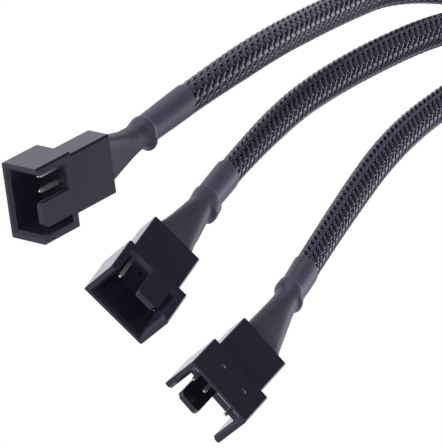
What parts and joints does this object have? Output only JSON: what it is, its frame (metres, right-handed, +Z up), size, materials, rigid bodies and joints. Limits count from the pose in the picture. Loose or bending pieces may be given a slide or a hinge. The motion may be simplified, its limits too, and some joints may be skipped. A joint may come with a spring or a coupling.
{
  "type": "fan splitter cable",
  "caption": "Black braided splitter cable with several keyed fan sockets on separate leads, joined under heat-shrink to one inlet plug.",
  "frame": {"origin": "centre of the underside of the middle outlet's shroud, on the surface the cable lies on", "axes": "+Z up; the middle outlet's mouth faces -Y; +X along its contact row towards the ground contact"},
  "size_m": [0.1375, 0.2318, 0.0148],
  "materials": {
    "housing_nylon": "satin moulded black nylon",
    "contact_metal": "tin plated",
    "shrink_tube": "semi-gloss black heat-shrink",
    "braided_sleeve": "black nylon monofilament braid",
    "wire_insulation": "black insulation",
    "splice_metal": "tin plated"
  },
  "bodies": {
    "root": {"outlet_1_housing": "housing_nylon", "outlet_1_ground_pin": "contact_metal", "outlet_1_power_pin": "contact_metal", "outlet_1_sense_pin": "contact_metal", "outlet_1_control_pin": "contact_metal", "outlet_1_boot": "shrink_tube", "branch_1_sleeve": "braided_sleeve", "outlet_2_housing": "housing_nylon", "outlet_2_ground_pin": "contact_metal", "outlet_2_power_pin": "contact_metal", "outlet_2_control_pin": "contact_metal", "outlet_2_boot": "shrink_tube", "branch_2_sleeve": "braided_sleeve", "outlet_3_housing": "housing_nylon", "outlet_3_ground_pin": "contact_metal", "outlet_3_power_pin": "contact_metal", "outlet_3_control_pin": "contact_metal", "outlet_3_boot": "shrink_tube", "branch_3_sleeve": "braided_sleeve", "inlet_housing": "housing_nylon", "inlet_ground_socket": "contact_metal", "inlet_power_socket": "contact_metal", "inlet_sense_socket": "contact_metal", "inlet_control_socket": "contact_metal", "inlet_boot": "shrink_tube", "trunk_sleeve": "braided_sleeve", "ground_splice": "splice_metal", "branch_1_ground_wire": "wire_insulation", "branch_2_ground_wire": "wire_insulation", "branch_3_ground_wire": "wire_insulation", "trunk_ground_wire": "wire_insulation", "control_splice": "splice_metal", "branch_1_control_wire": "wire_insulation", "branch_2_control_wire": "wire_insulation", "branch_3_control_wire": "wire_insulation", "trunk_control_wire": "wire_insulation", "power_splice": "splice_metal", "branch_1_power_wire": "wire_insulation", "branch_2_power_wire": "wire_insulation", "branch_3_power_wire": "wire_insulation", "trunk_power_wire": "wire_insulation", "sense_wire": "wire_insulation", "junction_shrink": "shrink_tube"}
  },
  "joints": []
}
